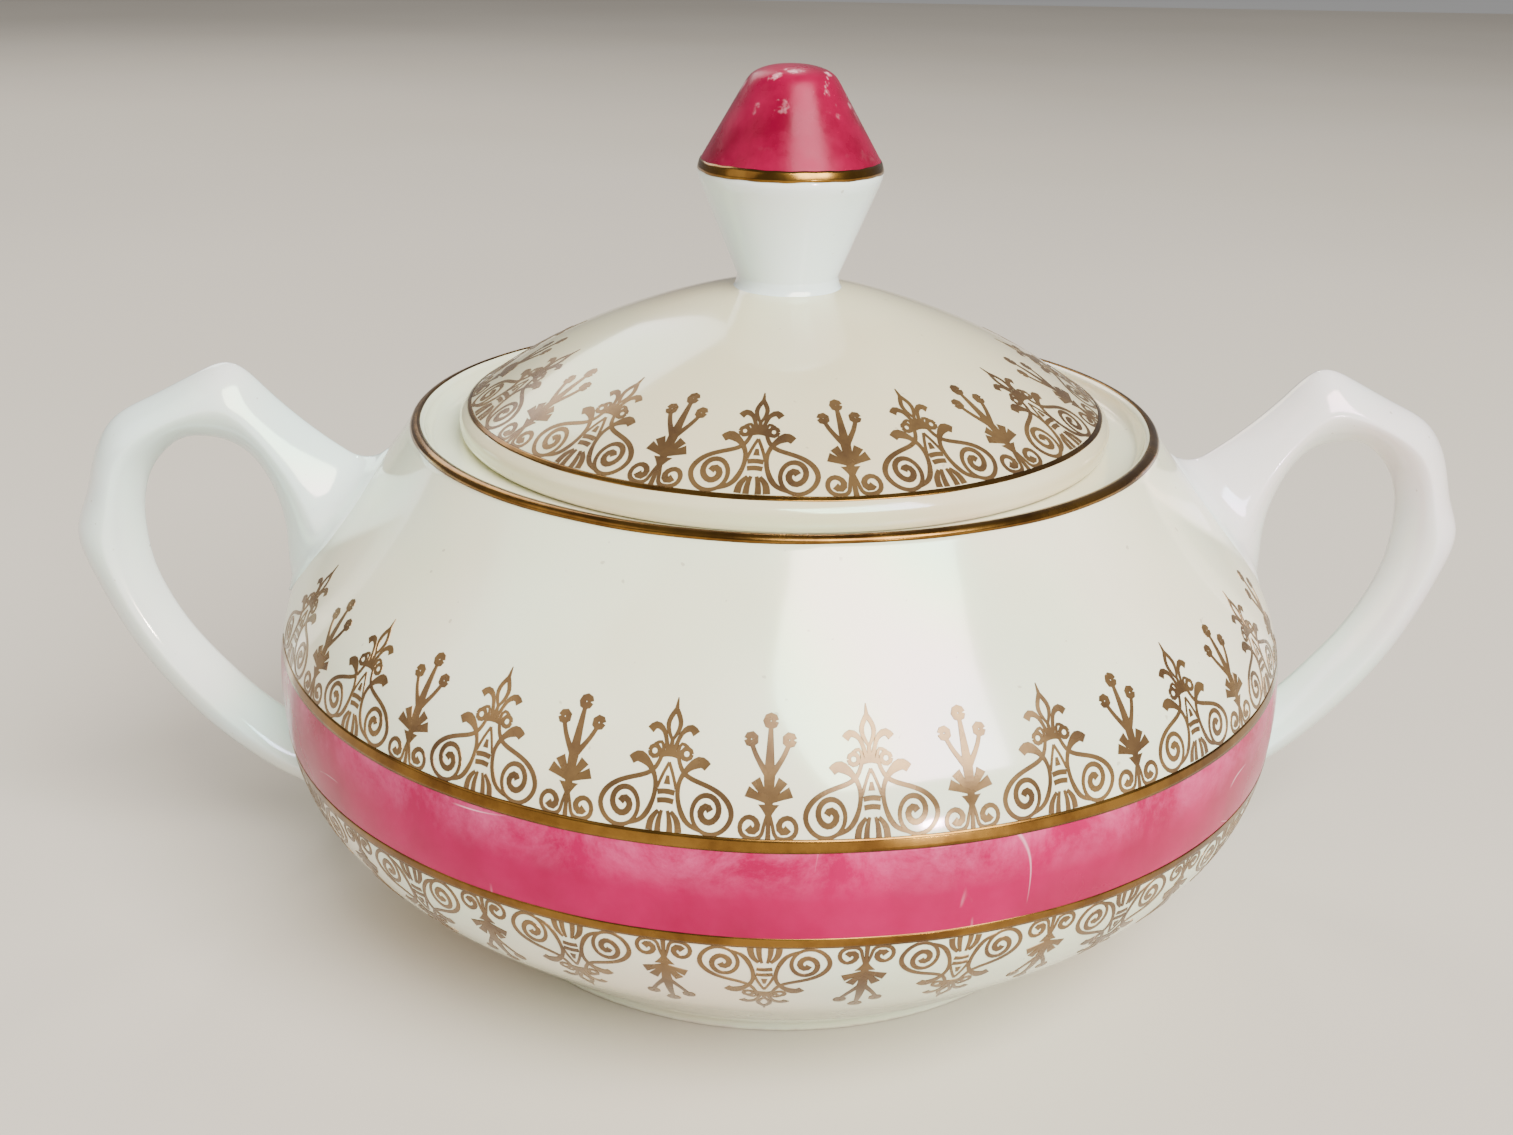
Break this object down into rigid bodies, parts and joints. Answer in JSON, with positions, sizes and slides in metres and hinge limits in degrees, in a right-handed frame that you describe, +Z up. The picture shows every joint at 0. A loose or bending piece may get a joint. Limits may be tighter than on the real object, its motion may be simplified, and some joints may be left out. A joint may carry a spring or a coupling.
{
  "type": "covered sugar bowl",
  "caption": "Squat round porcelain sugar bowl with two loop handles and a domed lift-off lid with a double-cone knob, banded and trimmed in gold.",
  "frame": {"origin": "on the bowl's axis in the plane of the foot ring, which is the middle of the object's underside", "axes": "+Z up along the bowl's axis, +X through the right handle, so that the two handles lie along X"},
  "size_m": [0.1758, 0.1252, 0.1044],
  "materials": {
    "body_glaze": "glossy ivory porcelain glaze with a faint pearl lustre",
    "handle_glaze": "glossy porcelain glaze with a pearl lustre",
    "lid_glaze": "glossy cream porcelain glaze with printed gold filigree",
    "knob_glaze": "glossy white porcelain glaze",
    "gold_decoration": "burnished bright gold, thinly printed and slightly worn",
    "raspberry_enamel": "fired raspberry pink overglaze enamel band, slightly cloudy, with fine handling scratches",
    "carmine_enamel": "fired carmine overglaze enamel on the knob's upper cone, rubbed pale near the tip"
  },
  "bodies": {
    "bowl": {"bowl_body": "body_glaze", "handle_left": "handle_glaze", "handle_right": "handle_glaze"},
    "lid": {"lid_dome": "lid_glaze", "lid_knob": "knob_glaze"}
  },
  "joints": [
    {"name": "lid_lift", "type": "slide", "parent": "bowl", "child": "lid", "axis": [0, 0, 1], "range_m": [0, 0.06]}
  ]
}
